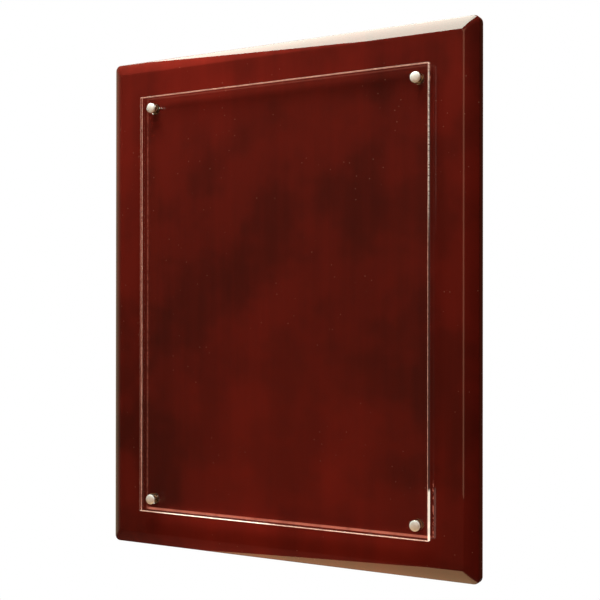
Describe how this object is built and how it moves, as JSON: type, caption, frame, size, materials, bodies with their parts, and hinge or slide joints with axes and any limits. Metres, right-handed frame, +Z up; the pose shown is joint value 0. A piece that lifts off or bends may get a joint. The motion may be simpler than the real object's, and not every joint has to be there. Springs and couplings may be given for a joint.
{
  "type": "wall plaque",
  "caption": "Upright award plaque: bevelled red-brown lacquered board with a clear acrylic plate held off its face by corner caps, and keyhole hangers in the back.",
  "frame": {"origin": "middle of the board's back face, which lies against the wall", "axes": "+Z up as it hangs upright, +Y into the wall, so the front faces -Y; +X to the right as seen from the front"},
  "size_m": [0.2666, 0.0218, 0.3302],
  "materials": {
    "board_lacquer": "clear high-gloss polyester lacquer over red-brown stain",
    "clear_acrylic": "clear cast sheet, polished faces, saw-cut edges",
    "satin_metal": "fine satin, turned",
    "clear_washer": "clear soft plastic",
    "clear_spacer": "clear moulded plastic",
    "stud_steel": "plain threaded rod",
    "insert_brass": "turned brass",
    "zinc_plate": "bright zinc plated pressing",
    "zinc_screw": "bright zinc plated"
  },
  "bodies": {
    "plaque": {"board": "board_lacquer", "acrylic_plate": "clear_acrylic", "spacer_top_left": "clear_spacer", "spacer_top_right": "clear_spacer", "spacer_bottom_left": "clear_spacer", "spacer_bottom_right": "clear_spacer", "stud_top_left": "stud_steel", "stud_top_right": "stud_steel", "stud_bottom_left": "stud_steel", "stud_bottom_right": "stud_steel", "insert_top_left": "insert_brass", "insert_top_right": "insert_brass", "insert_bottom_left": "insert_brass", "insert_bottom_right": "insert_brass", "portrait_hanger": "zinc_plate", "landscape_hanger": "zinc_plate", "portrait_hanger_screw_upper": "zinc_screw", "portrait_hanger_screw_lower": "zinc_screw", "landscape_hanger_screw_upper": "zinc_screw", "landscape_hanger_screw_lower": "zinc_screw"},
    "washer_top_left": {"washer_top_left": "clear_washer"},
    "cap_top_left": {"cap_top_left": "satin_metal"},
    "washer_top_right": {"washer_top_right": "clear_washer"},
    "cap_top_right": {"cap_top_right": "satin_metal"},
    "washer_bottom_left": {"washer_bottom_left": "clear_washer"},
    "cap_bottom_left": {"cap_bottom_left": "satin_metal"},
    "washer_bottom_right": {"washer_bottom_right": "clear_washer"},
    "cap_bottom_right": {"cap_bottom_right": "satin_metal"}
  },
  "joints": [
    {"name": "cap_lift_top_left", "type": "slide", "parent": "plaque", "child": "washer_top_left", "axis": [0, -1, 0], "range_m": [0, 0.001]},
    {"name": "cap_turn_top_left", "type": "hinge", "parent": "washer_top_left", "child": "cap_top_left", "pos_m": [-0.09445, -0.0201, 0.1303], "axis": [0, -1, 0], "range_deg": [0, 720]},
    {"name": "cap_lift_top_right", "type": "slide", "parent": "plaque", "child": "washer_top_right", "axis": [0, -1, 0], "range_m": [0, 0.001]},
    {"name": "cap_turn_top_right", "type": "hinge", "parent": "washer_top_right", "child": "cap_top_right", "pos_m": [0.09765, -0.0201, 0.1303], "axis": [0, -1, 0], "range_deg": [0, 720]},
    {"name": "cap_lift_bottom_left", "type": "slide", "parent": "plaque", "child": "washer_bottom_left", "axis": [0, -1, 0], "range_m": [0, 0.001]},
    {"name": "cap_turn_bottom_left", "type": "hinge", "parent": "washer_bottom_left", "child": "cap_bottom_left", "pos_m": [-0.09445, -0.0201, -0.1322], "axis": [0, -1, 0], "range_deg": [0, 720]},
    {"name": "cap_lift_bottom_right", "type": "slide", "parent": "plaque", "child": "washer_bottom_right", "axis": [0, -1, 0], "range_m": [0, 0.001]},
    {"name": "cap_turn_bottom_right", "type": "hinge", "parent": "washer_bottom_right", "child": "cap_bottom_right", "pos_m": [0.09765, -0.0201, -0.1322], "axis": [0, -1, 0], "range_deg": [0, 720]}
  ],
  "couplings": [
    {"joint": "cap_turn_top_left", "follows": "cap_lift_top_left", "rad_per_m": 12566},
    {"joint": "cap_turn_top_right", "follows": "cap_lift_top_right", "rad_per_m": 12566},
    {"joint": "cap_turn_bottom_left", "follows": "cap_lift_bottom_left", "rad_per_m": 12566},
    {"joint": "cap_turn_bottom_right", "follows": "cap_lift_bottom_right", "rad_per_m": 12566}
  ]
}
